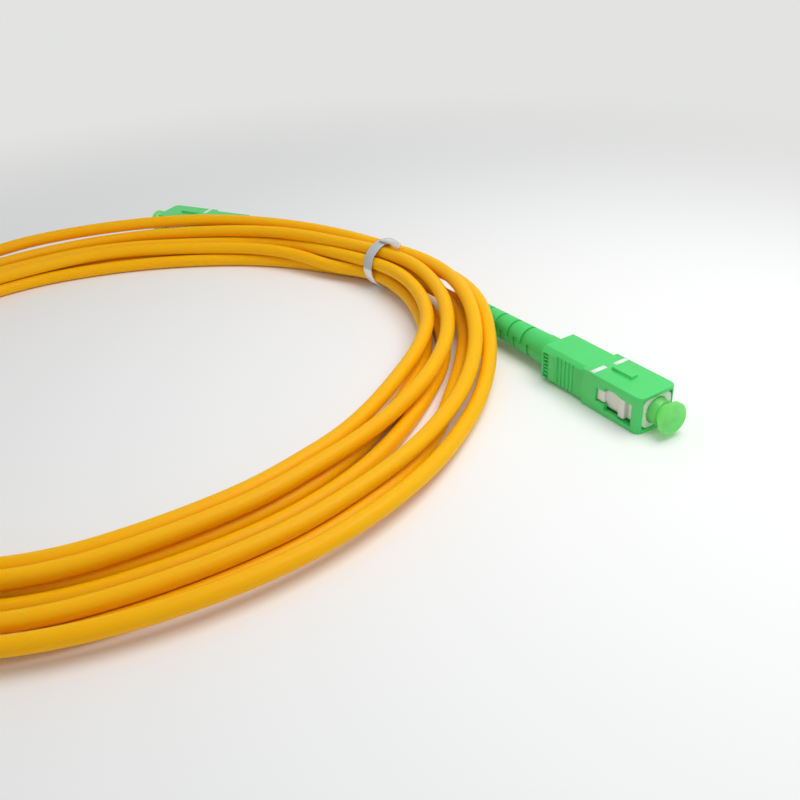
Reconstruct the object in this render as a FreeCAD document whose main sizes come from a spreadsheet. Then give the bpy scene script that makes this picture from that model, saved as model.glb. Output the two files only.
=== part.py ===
"""Simplex fibre optic patch cable: two push-pull square plugs with angled ferrules on one
coiled 3 mm cable, held by a twist tie.

Each plug is built about its own axis, which is its body's X axis with +X out of the ferrule.
The row frame has its origin on the table under the middle of plug A, +X along plug A and +Z up.
"""
import FreeCAD, Part
import math
import os

import Sketcher

# Driving dimensions in millimetres and degrees: alias, value, what it sizes.
SIZES = [
    ("grip_length", 25.4, "grip housing, front to rear"),
    ("grip_width", 9.0, "grip housing, side to side at its ends"),
    ("grip_height", 7.4, "grip housing, top to bottom"),
    ("grip_waist_width", 8.5, "grip housing, side to side at the finger ribs"),
    ("grip_waist_bevel", 0.8, "bevel of the housing's long edges behind its front block"),
    ("grip_step_back", 1.5, "front end of the waist, behind the middle"),
    ("grip_ear_length", 3.5, "full width behind the waist"),
    ("grip_edge_radius", 0.25, "rounding of the housing's long edges"),
    ("grip_front_radius", 1.3, "rounding of the housing's front corners"),
    ("frame_tail_gap", 0.7, "housing cavity behind the plug frame"),
    ("grip_travel", 2.0, "push-pull stroke of the housing on the plug frame"),
    ("slide_gap", 0.06, "running gap between housing and plug frame"),
    ("window_front_bar", 1.9, "housing wall ahead of the latch window"),
    ("window_length", 6.6, "latch window, front to rear"),
    ("window_top", 2.2, "latch window, top edge above the axis at its rear"),
    ("window_top_drop", 0.45, "fall of the top edge towards the front"),
    ("window_sill", 2.8, "latch window, sill below the axis at its front"),
    ("window_ramp_rise", 0.35, "rise of the sill towards the rear"),
    ("window_ramp_start", 2.5, "release ramps ahead of the window's rear"),
    ("window_ramp_length", 1.6, "length of the release ramps"),
    ("slot_length", 2.2, "narrow guide slot behind the window"),
    ("slot_height", 2.7, "narrow guide slot, top to bottom"),
    ("key_length", 4.9, "key on top of the housing"),
    ("key_width", 1.5, "key, side to side"),
    ("key_height", 0.6, "key above the housing"),
    ("key_setback", 5.8, "key behind the housing's front"),
    ("rear_border", 0.45, "housing wall behind the side recess"),
    ("rear_notch_length", 1.4, "recess in the housing's side at the rear"),
    ("rear_notch_depth", 0.6, "depth of that recess"),
    ("rear_notch_height", 5.3, "recess, top to bottom"),
    ("rung_height", 0.3, "rung across the recess"),
    ("rung_pitch", 0.76, "rungs, one to the next"),
    ("rung_count", 6, "rungs in each recess"),
    ("rung_recess", 0.2, "rungs below the housing's side"),
    ("thumb_band_length", 2.2, "smooth band between recess and ribs"),
    ("rib_pitch", 1.05, "finger ribs, groove to groove"),
    ("rib_groove_width", 0.35, "groove between finger ribs"),
    ("rib_groove_depth", 0.16, "depth of those grooves"),
    ("rib_groove_count", 5, "grooves on each side"),
    ("frame_width", 7.0, "plug frame, side to side"),
    ("frame_height", 5.9, "plug frame, top to bottom"),
    ("frame_length", 21.2, "plug frame, front to rear"),
    ("frame_setback", 0.2, "plug frame behind the housing's front"),
    ("frame_mouth_bore", 5.2, "front bore around the ferrule"),
    ("frame_mouth_depth", 6.5, "depth of the front bore"),
    ("frame_seat_thickness", 1.6, "wall that the flange seats on"),
    ("frame_seat_bore", 2.8, "ferrule hole in that wall"),
    ("frame_rear_bore", 4.7, "rear bore for flange, spring and stop ring"),
    ("frame_edge_radius", 1.6, "rounding of the frame's long edges"),
    ("lug_length", 1.8, "guide lug in the housing's slot"),
    ("lug_height", 2.4, "guide lug, top to bottom"),
    ("lug_reach", 0.5, "guide lug beyond the frame's side"),
    ("latch_rib_length", 1.4, "latch rib in the window"),
    ("latch_groove_length", 0.7, "groove ahead of the latch rib"),
    ("latch_groove_depth", 0.5, "depth of that groove"),
    ("stop_gap", 0.1, "gap left at each end of the housing's stroke"),
    ("ferrule_diameter", 2.5, "zirconia ferrule"),
    ("ferrule_length", 10.5, "zirconia ferrule, rear to tip"),
    ("ferrule_tip_reach", 0.9, "ferrule tip ahead of the plug frame"),
    ("ferrule_tip_angle", 8.0, "slope of the polished end face, degrees"),
    ("ferrule_tip_chamfer", 0.35, "bevel round the tip"),
    ("flange_diameter", 4.6, "flange on the ferrule"),
    ("flange_length", 3.0, "flange, front to rear"),
    ("flange_grip", 1.5, "length of ferrule inside the flange"),
    ("flange_tube_diameter", 2.0, "guide tube behind the flange"),
    ("flange_tube_length", 8.0, "guide tube, front to rear"),
    ("ferrule_travel", 1.2, "how far the ferrule springs back"),
    ("spring_length", 7.0, "ferrule spring as fitted"),
    ("spring_diameter", 3.9, "ferrule spring, outside"),
    ("spring_wire", 0.42, "ferrule spring, wire"),
    ("spring_turns", 6, "ferrule spring, turns"),
    ("press_gap", 0.01, "gap of a pressed or snapped fit"),
    ("stop_ring_bore", 2.2, "bore of the stop ring"),
    ("stop_collar_diameter", 5.6, "collar behind the plug frame"),
    ("stop_collar_length", 1.2, "collar, front to rear"),
    ("stop_post_diameter", 3.9, "crimp post"),
    ("stop_post_length", 6.0, "crimp post, front to rear"),
    ("crimp_wall", 0.38, "wall of the crimp sleeve"),
    ("crimp_grip", 3.2, "length of sleeve crimped on the jacket"),
    ("crimp_taper", 1.1, "taper between post and jacket"),
    ("fibre_diameter", 0.9, "buffered fibre"),
    ("fibre_slack", 1.7, "room behind the fibre for the ferrule's travel"),
    ("cable_diameter", 3.0, "jacketed cable"),
    ("boot_exposed", 28.3, "boot behind the housing"),
    ("boot_collar_diameter", 6.2, "boot where it enters the housing"),
    ("boot_collar_exposed", 3.8, "straight collar behind the housing"),
    ("boot_root_diameter", 5.9, "boot at the start of its taper"),
    ("boot_tail_diameter", 4.9, "boot at its tail"),
    ("boot_hole_gap", 0.15, "gap between boot and housing"),
    ("boot_slot_pitch", 4.35, "flex slots on one side, slot to slot"),
    ("boot_slot_width", 0.6, "flex slot along the boot"),
    ("boot_slot_web", 2.15, "slot floor from the axis"),
    ("boot_slot_start", 6.05, "first slot behind the housing, on the underside"),
    ("boot_slot_count", 4, "flex slots on top, one fewer than on the underside"),
    ("boot_slot_top_arc", 186.0, "reach of a top slot round the boot, degrees"),
    ("boot_slot_base_arc", 212.0, "reach of an underside slot round the boot, degrees"),
    ("cap_tube_diameter", 4.9, "dust cap tube"),
    ("cap_inset", 6.1, "dust cap tube inside the plug frame"),
    ("cap_tube_exposed", 2.4, "dust cap tube and neck ahead of the housing"),
    ("cap_neck_diameter", 3.8, "neck behind the dust cap's head"),
    ("cap_neck_length", 0.8, "neck, front to rear"),
    ("cap_shoulder", 0.5, "rounded end of the tube at the neck"),
    ("cap_head_diameter", 6.0, "dust cap head"),
    ("cap_head_length", 1.8, "dust cap head, front to rear"),
    ("cap_head_bevel", 0.45, "bevel of the head's rims"),
    ("cap_bore_gap", 0.01, "gap between dust cap and ferrule"),
    ("cap_tip_room", 0.8, "room in the cap ahead of the ferrule tip"),
    ("cap_dimple_radius", 1.9, "dimple in the head"),
    ("cap_dimple_depth", 0.5, "depth of the dimple"),
    ("plug_b_x", -129.5, "middle of plug B"),
    ("plug_b_y", -25.3, "middle of plug B"),
    ("plug_b_heading", 211.0, "direction of plug B, degrees from plug A"),
    ("coil_x", -64.2, "middle of the coil"),
    ("coil_y", -74.0, "middle of the coil"),
    ("bundle_radius", 5.0, "cable bundle inside the tie"),
    ("bundle_reach", 71.3, "tied bundle from the middle of the coil"),
    ("tie_bearing", 97.0, "direction of the tie from the coil's middle, degrees"),
    ("tie_width", 3.0, "twist tie ribbon"),
    ("tie_thickness", 0.35, "twist tie ribbon"),
    ("tie_gap", 0.1, "gap between tie and bundle"),
    ("tie_tail_length", 6.0, "twisted end of the tie"),
    ("tie_tail_thickness", 0.8, "twisted end of the tie"),
    ("coil_clearance", 0.3, "gap between the coil and the plugs that it lies on"),
]

# Outer shape of the loose coil: bearing, middle radius, half width, half height, in degrees and mm.
COIL_SECTIONS = [
    (72.0, 72.0, 7.3, 5.5),
    (48.0, 67.2, 9.8, 3.8),
    (15.0, 63.3, 10.9, 2.9),
    (-25.0, 64.7, 9.3, 2.9),
    (-70.0, 66.4, 8.9, 2.9),
    (-115.0, 68.2, 8.3, 3.1),
    (-160.0, 70.2, 7.3, 4.1),
    (160.0, 68.0, 7.3, 5.0),
    (140.0, 67.2, 6.5, 5.2),
    (119.0, 68.3, 4.8, 5.2),
]
TIE_HALF_ARC = 3.0
COIL_STATIONS = 30
COIL_SIDES = 12

# Free run of the cable behind each boot, in the plug's own frame, chosen by hand.
TAIL_A_ROUTE = [(-47.0, 0.0, 0.0), (-57.0, -0.9, -0.2)]
TAIL_B_ROUTE = [(-45.5, 0.0, 0.0), (-55.5, 4.4, 1.2)]
ARC_SHARE = 0.45

doc = FreeCAD.newDocument("patch_cable")
sheet = doc.addObject("Spreadsheet::Sheet", "sizes")
for row, (alias, value, note) in enumerate(SIZES, start=1):
    sheet.set(f"A{row}", note)
    sheet.set(f"B{row}", str(value))
    sheet.setAlias(f"B{row}", alias)
doc.recompute()


class Size:
    """A number kept together with the sheet expression that gives it."""

    def __init__(self, value, text):
        self.value = value
        self.text = text

    def __add__(self, other):
        other = as_size(other)
        return Size(self.value + other.value, f"({self.text} + {other.text})")

    def __sub__(self, other):
        other = as_size(other)
        return Size(self.value - other.value, f"({self.text} - {other.text})")

    def __mul__(self, other):
        other = as_size(other)
        return Size(self.value * other.value, f"({self.text} * {other.text})")

    def __truediv__(self, other):
        other = as_size(other)
        return Size(self.value / other.value, f"({self.text} / {other.text})")

    def __neg__(self):
        return Size(-self.value, f"(-1 * {self.text})")


def as_size(item):
    return item if isinstance(item, Size) else Size(float(item), repr(float(item)))


def size(alias):
    return Size(float(sheet.get(alias)), f"sizes.{alias}")


def tangent(angle):
    return Size(math.tan(math.radians(angle.value)), f"tan({angle.text} * 1 deg)")


def bind(item, prop, length):
    """Tie one property of a document object to the sheet."""
    item.setExpression(prop, as_size(length).text)


def new_body(label):
    body = doc.addObject("PartDesign::Body", label)
    body.Label = label
    return body


def origin_plane(body, role):
    return next(plane for plane in body.Origin.OriginFeatures if plane.Role == role)


def sketch(body, plane, loops):
    """Closed outlines on an origin plane of the body, with every corner tied to the sheet."""
    item = body.newObject("Sketcher::SketchObject", f"{body.Label}_outline")
    item.AttachmentSupport = (origin_plane(body, plane), [""])
    item.MapMode = "FlatFace"
    for loop in loops:
        corners = [(as_size(across), as_size(up)) for across, up in loop]
        first = item.GeometryCount
        count = len(corners)
        for i in range(count):
            ends = [FreeCAD.Vector(a.value, b.value, 0) for a, b in (corners[i], corners[(i + 1) % count])]
            item.addGeometry(Part.LineSegment(*ends))
        for i in range(count):
            item.addConstraint(Sketcher.Constraint("Coincident", first + i, 2, first + (i + 1) % count, 1))
        for i, corner in enumerate(corners):
            for kind, length in zip(("DistanceX", "DistanceY"), corner):
                index = item.addConstraint(Sketcher.Constraint(kind, -1, 1, first + i, 1, length.value))
                if "sizes." in length.text:
                    item.setExpression(f"Constraints[{index}]", length.text)
    doc.recompute()
    return item


def rectangle(x0, x1, y0, y1):
    return [(x0, y0), (x1, y0), (x1, y1), (x0, y1)]


def both_sides(x0, x1, inner, outer):
    """The same rectangle on the +Y and the -Y side."""
    return [rectangle(x0, x1, inner, outer), rectangle(x0, x1, -outer, -inner)]


def pad(body, plane, loops, thickness, lift=None):
    """Add the outline, half its thickness each side of the plane, or upwards from a lifted plane."""
    item = body.newObject("PartDesign::Pad", f"{body.Label}_pad")
    item.Profile = sketch(body, plane, loops)
    if lift is None:
        item.SideType = "Symmetric"
    else:
        bind(item.Profile[0], "AttachmentOffset.Base.z", lift)
    bind(item, "Length", thickness)
    doc.recompute()
    return item


def pocket(body, plane, loops, thickness=None, lift=None):
    """Cut the outline to both sides of the plane, through everything if no thickness is given."""
    before = body.Shape.Volume
    item = body.newObject("PartDesign::Pocket", f"{body.Label}_pocket")
    item.Profile = sketch(body, plane, loops)
    item.SideType = "Symmetric"
    if lift is not None:
        bind(item.Profile[0], "AttachmentOffset.Base.z", lift)
    if thickness is None:
        item.Type = "ThroughAll"
    else:
        bind(item, "Length", thickness)
    doc.recompute()
    if body.Shape.Volume > before - 1e-6:
        raise RuntimeError(f"{item.Name} cuts nothing")
    return item


def turned(label, profile):
    """A body of revolution about its X axis."""
    body = new_body(label)
    item = body.newObject("PartDesign::Revolution", f"{label}_turn")
    item.Profile = sketch(body, "XY_Plane", [profile])
    item.ReferenceAxis = (item.Profile[0], ["H_Axis"])
    item.Angle = 360
    doc.recompute()
    return body


def bored(body, profile, plane="XY_Plane", arc=None):
    """Cut a profile round the body's X axis, right round or over an arc with the plane in its middle."""
    before = body.Shape.Volume
    item = body.newObject("PartDesign::Groove", f"{body.Label}_bore")
    item.Profile = sketch(body, plane, [profile])
    item.ReferenceAxis = (item.Profile[0], ["H_Axis"])
    if arc is None:
        item.Angle = 360
    else:
        item.Midplane = True
        bind(item, "Angle", arc)
    doc.recompute()
    if body.Shape.Volume > before - 1e-6:
        raise RuntimeError(f"{item.Name} cuts nothing")
    return item


def repeated(body, feature, count, pitch):
    """Repeat a feature towards the rear of the plug."""
    item = body.newObject("PartDesign::LinearPattern", f"{body.Label}_row")
    item.Originals = [feature]
    item.Direction = (origin_axis(body), [""])
    item.Reversed = True
    item.Mode = "Spacing"
    bind(item, "Offset", pitch)
    bind(item, "Occurrences", count)
    body.Tip = item
    doc.recompute()


def origin_axis(body):
    return next(axis for axis in body.Origin.OriginFeatures if axis.Role == "X_Axis")


def dressed(body, kind, prop, length, chosen):
    """Fillet or chamfer the edges of the body's tip that the test chooses."""
    item = body.newObject(f"PartDesign::{kind}", f"{body.Label}_edges")
    base = item.BaseFeature
    names = [f"Edge{i}" for i, edge in enumerate(base.Shape.Edges, start=1) if chosen(edge)]
    item.Base = (base, names)
    bind(item, prop, length)
    doc.recompute()


def runs_along(edge, direction):
    """True for a straight edge parallel to a unit direction."""
    ends = [vertex.Point for vertex in edge.Vertexes]
    if len(ends) != 2:
        return False
    span = ends[1] - ends[0]
    return abs(span.dot(direction)) > 0.999 * edge.Length


X_WAY = FreeCAD.Vector(1, 0, 0)
Z_WAY = FreeCAD.Vector(0, 0, 1)

# Stations along a plug's axis that several pieces share.
grip_front = size("grip_length") / 2
grip_rear = -grip_front
axis_height = size("grip_height") / 2
frame_front = grip_front - size("frame_setback")
frame_rear = frame_front - size("frame_length")
seat_front = frame_front - size("frame_mouth_depth")
seat_rear = seat_front - size("frame_seat_thickness")
flange_rear = seat_rear - size("flange_length")
stop_front = flange_rear - size("spring_length")
collar_rear = frame_rear - size("stop_collar_length")
post_rear = collar_rear - size("stop_post_length")
sleeve_rear = post_rear - size("crimp_taper") - size("crimp_grip")
ferrule_tip = frame_front + size("ferrule_tip_reach")
ferrule_rear = ferrule_tip - size("ferrule_length")
jacket_front = post_rear - size("crimp_taper")
cavity_rear = frame_rear - size("frame_tail_gap")
boot_front = cavity_rear - size("grip_travel") - size("stop_gap")
boot_tail = grip_rear - size("boot_exposed")
window_front = grip_front - size("window_front_bar")
window_rear = window_front - size("window_length")
sill = -size("window_sill")
sill_rear = sill + size("window_ramp_rise")
top_front = size("window_top") - size("window_top_drop")
slot_rear = window_rear - size("slot_length")
cable_radius = size("cable_diameter") / 2
past = size("slide_gap")


def grip_housing(label):
    """Moulded outer housing: a waisted box with a key, latch windows, finger ribs and laddered ears."""
    half_width = size("grip_width") / 2
    half_waist = size("grip_waist_width") / 2
    body = new_body(label)
    pad(body, "XY_Plane", [rectangle(grip_rear, grip_front, -half_width, half_width)], size("grip_height"))
    dressed(body, "Fillet", "Radius", size("grip_front_radius"),
            lambda edge: runs_along(edge, Z_WAY) and edge.CenterOfMass.x > 0)
    dressed(body, "Fillet", "Radius", size("grip_edge_radius"), lambda edge: runs_along(edge, X_WAY))
    waist_front = -size("grip_step_back")
    waist_rear = grip_rear + size("grip_ear_length")
    waist_depth = half_width - half_waist
    for side in (1, -1):
        pocket(body, "XY_Plane", [[
            (waist_rear, (half_width + past) * side), (waist_rear + waist_depth, half_waist * side),
            (waist_front - waist_depth, half_waist * side), (waist_front, (half_width + past) * side)]])
    bevel = size("grip_waist_bevel")
    reach = waist_depth + past
    corners = [[
        ((half_waist - bevel - reach) * side, (axis_height + reach) * up),
        ((half_waist + reach) * side, (axis_height + reach) * up),
        ((half_waist + reach) * side, (axis_height - bevel - reach) * up)] for side in (1, -1) for up in (1, -1)]
    bevel_front = waist_front - waist_depth
    pocket(body, "YZ_Plane", corners, bevel_front - grip_rear + past, lift=(bevel_front + grip_rear - past) / 2)
    notch_rear = grip_rear + size("rear_border")
    notch_front = notch_rear + size("rear_notch_length")
    pocket(body, "XY_Plane", both_sides(
        notch_rear, notch_front, half_width - size("rear_notch_depth"), half_width + past),
        size("rear_notch_height"))
    rung = size("rung_height")
    lowest = -(size("rung_pitch") * (size("rung_count") - 1) + rung) / 2
    rungs = [lowest + size("rung_pitch") * i for i in range(int(size("rung_count").value))]
    pad(body, "XZ_Plane", [rectangle(notch_rear, notch_front, low, low + rung) for low in rungs],
        (half_width - size("rung_recess")) * 2)
    groove_rear = notch_front + size("thumb_band_length")
    last_groove = groove_rear + size("rib_pitch") * (size("rib_groove_count") - 1)
    groove = pocket(body, "XY_Plane", both_sides(
        last_groove, last_groove + size("rib_groove_width"),
        half_waist - size("rib_groove_depth"), half_width))
    repeated(body, groove, size("rib_groove_count"), size("rib_pitch"))
    key_front = grip_front - size("key_setback")
    key_root = size("key_height") / 2
    pad(body, "XY_Plane", [rectangle(key_front - size("key_length"), key_front,
                                     -(size("key_width") / 2), size("key_width") / 2)],
        size("key_height") + key_root, lift=axis_height - key_root)
    cavity_width = size("frame_width") / 2 + size("slide_gap")
    pocket(body, "XY_Plane", [rectangle(cavity_rear, grip_front + past, -cavity_width, cavity_width)],
           size("frame_height") + size("slide_gap") * 2)
    hole = size("boot_collar_diameter") / 2 + size("boot_hole_gap")
    bored(body, rectangle(grip_rear - past, cavity_rear + past, 0, hole))
    slot_half = size("slot_height") / 2
    ramp_rear = window_rear + size("window_ramp_start")
    ramp_front = ramp_rear + size("window_ramp_length")
    pocket(body, "XZ_Plane", [[
        (slot_rear, -slot_half), (window_rear, -slot_half), (window_rear, sill_rear), (ramp_rear, sill_rear),
        (ramp_front, sill), (window_front, sill), (window_front, top_front), (ramp_front, top_front),
        (ramp_rear, size("window_top")), (window_rear, size("window_top")),
        (window_rear, slot_half), (slot_rear, slot_half)]])
    return body


def plug_frame(label):
    """Inner frame that locks into an adapter: guide lugs, latch ribs and the stepped bore."""
    half_width = size("frame_width") / 2
    reach = half_width + size("lug_reach")
    body = new_body(label)
    pad(body, "XY_Plane", [rectangle(frame_rear, frame_front, -half_width, half_width)], size("frame_height"))
    dressed(body, "Fillet", "Radius", size("frame_edge_radius"), lambda edge: runs_along(edge, X_WAY))
    lug_rear = slot_rear + size("stop_gap")
    lug_half = size("lug_height") / 2
    rib_front = window_front - size("grip_travel") - size("stop_gap")
    rib_low = sill_rear + size("stop_gap")
    rib_high = top_front - size("stop_gap")
    pad(body, "XZ_Plane", [
        rectangle(lug_rear, lug_rear + size("lug_length"), -lug_half, lug_half),
        rectangle(rib_front - size("latch_rib_length"), rib_front, rib_low, rib_high)], reach * 2)
    pocket(body, "XY_Plane", both_sides(
        rib_front, rib_front + size("latch_groove_length"),
        half_width - size("latch_groove_depth"), reach))
    mouth = size("frame_mouth_bore") / 2
    seat = size("frame_seat_bore") / 2
    rear = size("frame_rear_bore") / 2
    bored(body, [(frame_rear - past, 0), (frame_front + past, 0), (frame_front + past, mouth),
                 (seat_front, mouth), (seat_front, seat), (seat_rear, seat), (seat_rear, rear),
                 (frame_rear - past, rear)])
    return body


def ferrule(label):
    """Zirconia ferrule with a bevelled tip, polished at an angle."""
    radius = size("ferrule_diameter") / 2
    bevel = size("ferrule_tip_chamfer")
    body = turned(label, [
        (ferrule_rear, 0), (ferrule_tip, 0), (ferrule_tip, radius - bevel),
        (ferrule_tip - bevel, radius), (ferrule_rear, radius)])
    drop = size("ferrule_diameter") * tangent(size("ferrule_tip_angle"))
    pocket(body, "XZ_Plane", [[
        (ferrule_tip, -radius), (ferrule_tip + bevel, -radius), (ferrule_tip + bevel, radius),
        (ferrule_tip - drop, radius)]])
    return body


def ferrule_flange(label):
    """Turned flange pressed on the ferrule, with the guide tube that the spring sits on."""
    tube_rear = flange_rear - size("flange_tube_length")
    grip = size("ferrule_diameter") / 2
    fibre_bore = size("fibre_diameter") / 2
    return turned(label, [
        (seat_rear, grip), (seat_rear, size("flange_diameter") / 2),
        (flange_rear, size("flange_diameter") / 2), (flange_rear, size("flange_tube_diameter") / 2),
        (tube_rear, size("flange_tube_diameter") / 2), (tube_rear, fibre_bore),
        (ferrule_rear, fibre_bore), (ferrule_rear, grip)])


def ferrule_spring(label):
    """Compression spring between the flange and the stop ring, its wire drawn six-sided."""
    wire = size("spring_wire") / 2
    middle = size("spring_diameter") / 2 - wire
    body = new_body(label)
    start = stop_front + wire
    corners = [math.radians(60 * i) for i in range(6)]
    section = sketch(body, "XY_Plane", [
        [(start + wire * math.cos(t), middle + wire * math.sin(t)) for t in corners]])
    helix = body.newObject("PartDesign::AdditiveHelix", f"{label}_helix")
    helix.Profile = section
    helix.ReferenceAxis = (section, ["H_Axis"])
    helix.Mode = "height-turns-angle"
    bind(helix, "Height", size("spring_length") - size("spring_wire"))
    bind(helix, "Turns", size("spring_turns"))
    doc.recompute()
    return body


def stop_ring(label):
    """Turned stop ring: snaps into the frame, backs the spring and carries the crimp post."""
    bore = size("stop_ring_bore") / 2
    nose = size("frame_rear_bore") / 2 - size("press_gap")
    collar = size("stop_collar_diameter") / 2
    post = size("stop_post_diameter") / 2
    return turned(label, [
        (stop_front, bore), (stop_front, nose), (frame_rear, nose), (frame_rear, collar),
        (collar_rear, collar), (collar_rear, post), (post_rear, post), (post_rear, bore)])


def crimp_sleeve(label):
    """Crimped sleeve over the post, necked down on to the jacket."""
    wall = size("crimp_wall")
    post = size("stop_post_diameter") / 2 + size("press_gap")
    return turned(label, [
        (collar_rear, post), (collar_rear, post + wall), (post_rear, post + wall),
        (jacket_front, cable_radius + wall), (sleeve_rear, cable_radius + wall),
        (sleeve_rear, cable_radius), (jacket_front, cable_radius), (post_rear, post)])


def buffered_fibre(label):
    """Buffered fibre from the ferrule back through the stop ring."""
    rear = jacket_front + size("fibre_slack")
    return turned(label, rectangle(rear, ferrule_rear, 0, size("fibre_diameter") / 2))


def boot(label):
    """Tapered strain relief, cut half-way round by flex slots from above and below in turn."""
    collar = size("boot_collar_diameter") / 2
    sleeve = size("stop_post_diameter") / 2 + size("crimp_wall") + size("press_gap") * 2
    neck = cable_radius + size("crimp_wall") + size("press_gap")
    collar_end = grip_rear - size("boot_collar_exposed")
    ledge = collar - size("boot_root_diameter") / 2
    body = turned(label, [
        (boot_front, sleeve), (boot_front, collar), (collar_end, collar),
        (collar_end - ledge, size("boot_root_diameter") / 2), (boot_tail, size("boot_tail_diameter") / 2),
        (boot_tail, cable_radius), (sleeve_rear, cable_radius), (sleeve_rear, neck),
        (jacket_front, neck), (post_rear, sleeve)])
    width = size("boot_slot_width")
    web = size("boot_slot_web")
    under = grip_rear - size("boot_slot_start")
    slot = bored(body, rectangle(under - width, under, -collar, -web), "XZ_Plane", size("boot_slot_base_arc"))
    repeated(body, slot, size("boot_slot_count") + 1, size("boot_slot_pitch"))
    above = under - size("boot_slot_pitch") / 2
    slot = bored(body, rectangle(above - width, above, web, collar), "XZ_Plane", size("boot_slot_top_arc"))
    repeated(body, slot, size("boot_slot_count"), size("boot_slot_pitch"))
    return body


def dust_cap(label):
    """Soft cap over the ferrule: a round-ended tube, a neck and a dimpled head."""
    bore = size("ferrule_diameter") / 2 + size("cap_bore_gap")
    tube = size("cap_tube_diameter") / 2
    neck = size("cap_neck_diameter") / 2
    head = size("cap_head_diameter") / 2
    bevel = size("cap_head_bevel")
    shoulder = size("cap_shoulder")
    tube_rear = frame_front - size("cap_inset")
    head_rear = grip_front + size("cap_tube_exposed")
    neck_rear = head_rear - size("cap_neck_length")
    head_front = head_rear + size("cap_head_length")
    blind_end = ferrule_tip + size("cap_tip_room")
    return turned(label, [
        (tube_rear, bore), (tube_rear, tube), (neck_rear - shoulder, tube),
        (neck_rear - shoulder * 0.3, tube - (tube - neck) * 0.35), (neck_rear, neck), (head_rear, neck),
        (head_rear, head - bevel), (head_rear + bevel, head), (head_front - bevel, head), (head_front, head - bevel), (head_front, size("cap_dimple_radius")),
        (head_front - size("cap_dimple_depth"), 0), (blind_end, 0), (blind_end, bore)])


PLUG_PIECES = [
    ("grip_housing", grip_housing), ("frame", plug_frame), ("ferrule", ferrule),
    ("ferrule_flange", ferrule_flange), ("ferrule_spring", ferrule_spring), ("stop_ring", stop_ring),
    ("crimp_sleeve", crimp_sleeve), ("buffered_fibre", buffered_fibre), ("boot", boot),
    ("dust_cap", dust_cap),
]


def place(item, x, y, heading):
    """Lay a piece of a plug on the table, turned about the vertical."""
    item.Placement = FreeCAD.Placement(FreeCAD.Vector(x.value, y.value, axis_height.value),
                                       FreeCAD.Rotation(Z_WAY, heading.value))
    for name, length in (("x", x), ("y", y), ("z", axis_height)):
        if "sizes." in length.text:
            bind(item, f"Placement.Base.{name}", length)


def make_plug(letter, x, y, heading):
    pieces = {}
    for name, build in PLUG_PIECES:
        body = build(f"plug_{letter}_{name}")
        place(body, x, y, heading)
        pieces[name] = body
    return pieces


def smooth_route(points):
    """A wire of straight runs joined by tangent arcs, as large as the shorter run allows."""
    edges = []
    here = points[0]
    for before, corner, after in zip(points, points[1:], points[2:]):
        back = (before - corner).normalize()
        on = (after - corner).normalize()
        half_turn = (math.pi - back.getAngle(on)) / 2
        cut = ARC_SHARE * min((before - corner).Length, (after - corner).Length)
        radius = cut / math.tan(half_turn)
        start = corner + back * cut
        end = corner + on * cut
        middle_way = (back + on).normalize()
        depth = radius / math.cos(half_turn) - radius
        edges.append(Part.LineSegment(here, start).toShape())
        edges.append(Part.Arc(start, corner + middle_way * depth, end).toShape())
        print(f"cable bend radius {radius:.1f} mm")
        here = end
    edges.append(Part.LineSegment(here, points[-1]).toShape())
    return Part.Wire(edges)


def cable_tail(label, route):
    """Jacketed cable from the crimp, through the boot and into the coil, in its plug's frame."""
    start = FreeCAD.Vector(jacket_front.value, 0, 0)
    wire = smooth_route([start] + [FreeCAD.Vector(*point) for point in route])
    section = Part.Wire(Part.makeCircle(cable_radius.value, start, X_WAY))
    solid = wire.makePipeShell([section], True, True)
    expected = math.pi * cable_radius.value ** 2 * wire.Length
    if abs(solid.Volume / expected - 1) > 0.01:
        raise RuntimeError(f"{label} is not its section times its length")
    tail = doc.addObject("Part::Feature", label)
    tail.Label = label
    tail.Shape = solid
    return tail


def bundle_height():
    return size("bundle_radius") + size("tie_gap") + size("tie_thickness")


def ring_place(bearing, radius, height):
    """A section plane of the coil: its X axis points outwards and its Y axis up."""
    spin = FreeCAD.Rotation(Z_WAY, bearing) * FreeCAD.Rotation(X_WAY, 90)
    out = FreeCAD.Rotation(Z_WAY, bearing).multVec(FreeCAD.Vector(radius, 0, 0))
    centre = FreeCAD.Vector(size("coil_x").value, size("coil_y").value, height)
    return FreeCAD.Placement(centre + out, spin)


def coil_size(bearing):
    """Middle radius, half width, half height and middle height of the coil at a bearing."""
    bundle = size("bundle_radius").value
    tied = (size("bundle_reach").value, bundle, bundle, bundle_height().value)
    past_tie = (size("tie_bearing").value - bearing) % 360
    rows = [(TIE_HALF_ARC, tied)]
    for angle, radius, half_width, half_height in COIL_SECTIONS:
        rows.append(((size("tie_bearing").value - angle) % 360, (radius, half_width, half_height, half_height)))
    rows.append((360 - TIE_HALF_ARC, tied))
    for (before, here), (after, there) in zip(rows, rows[1:]):
        if before <= past_tie <= after:
            share = (past_tie - before) / (after - before)
            ease = share * share * (3 - 2 * share)
            return [a + (b - a) * ease for a, b in zip(here, there)]
    return tied


def coil_section(bearing):
    """One many-sided section across the coil."""
    radius, half_width, half_height, height = coil_size(bearing)
    item = doc.addObject("Part::Polygon", "coil_section")
    corners = [2 * math.pi * (i + 0.5) / COIL_SIDES for i in range(COIL_SIDES)]
    item.Nodes = [FreeCAD.Vector(half_width * math.cos(t), half_height * math.sin(t), 0) for t in corners]
    item.Close = True
    item.Placement = ring_place(bearing, radius, height)
    return item


def clear_tube(label, plug, x0, x1, radius):
    """A cylinder about a plug's axis that keeps the coil off it."""
    item = doc.addObject("Part::Cylinder", label)
    bind(item, "Radius", radius)
    bind(item, "Height", x1 - x0)
    along = FreeCAD.Placement(FreeCAD.Vector(x0.value, 0, 0), FreeCAD.Rotation(FreeCAD.Vector(0, 1, 0), 90))
    item.Placement = plug.Placement * along
    return item


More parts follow.
